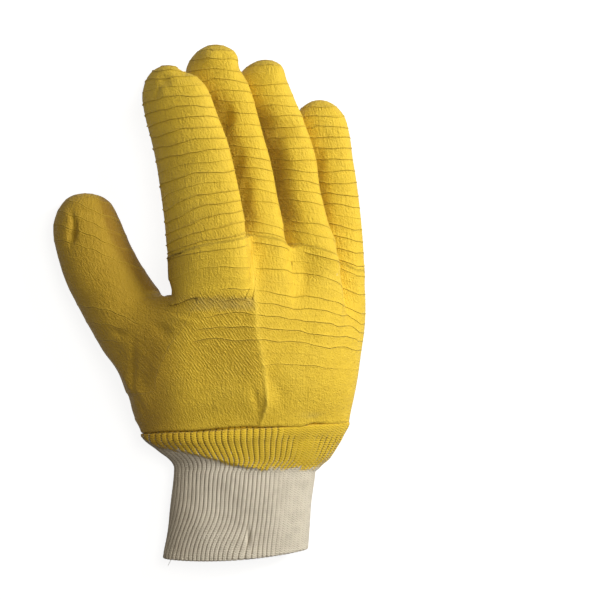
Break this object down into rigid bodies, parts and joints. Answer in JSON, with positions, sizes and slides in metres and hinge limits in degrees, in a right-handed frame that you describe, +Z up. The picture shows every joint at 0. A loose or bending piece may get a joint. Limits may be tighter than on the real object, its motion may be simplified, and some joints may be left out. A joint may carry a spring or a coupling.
{
  "type": "latex coated grip glove",
  "caption": "Right-hand work glove lying back up: crinkled yellow latex coat over cotton jersey, with a ribbed knit wrist.",
  "frame": {"origin": "middle of the box round the glove, on the surface that it lies on", "axes": "+Z up, out of the back of the hand; +Y from the wrist opening towards the fingertips; the thumb is on the -X side"},
  "size_m": [0.157, 0.261, 0.051],
  "materials": {
    "latex_coat": "matt crinkled latex, dull yellow",
    "soaked_rib": "rib knit soaked with matt yellow latex",
    "cotton_rib": "unbleached cotton rib knit, matt"
  },
  "bodies": {
    "root": {"hand_shell": "latex_coat", "thumb": "latex_coat", "coated_rib": "soaked_rib", "knit_wrist": "cotton_rib"}
  },
  "joints": []
}
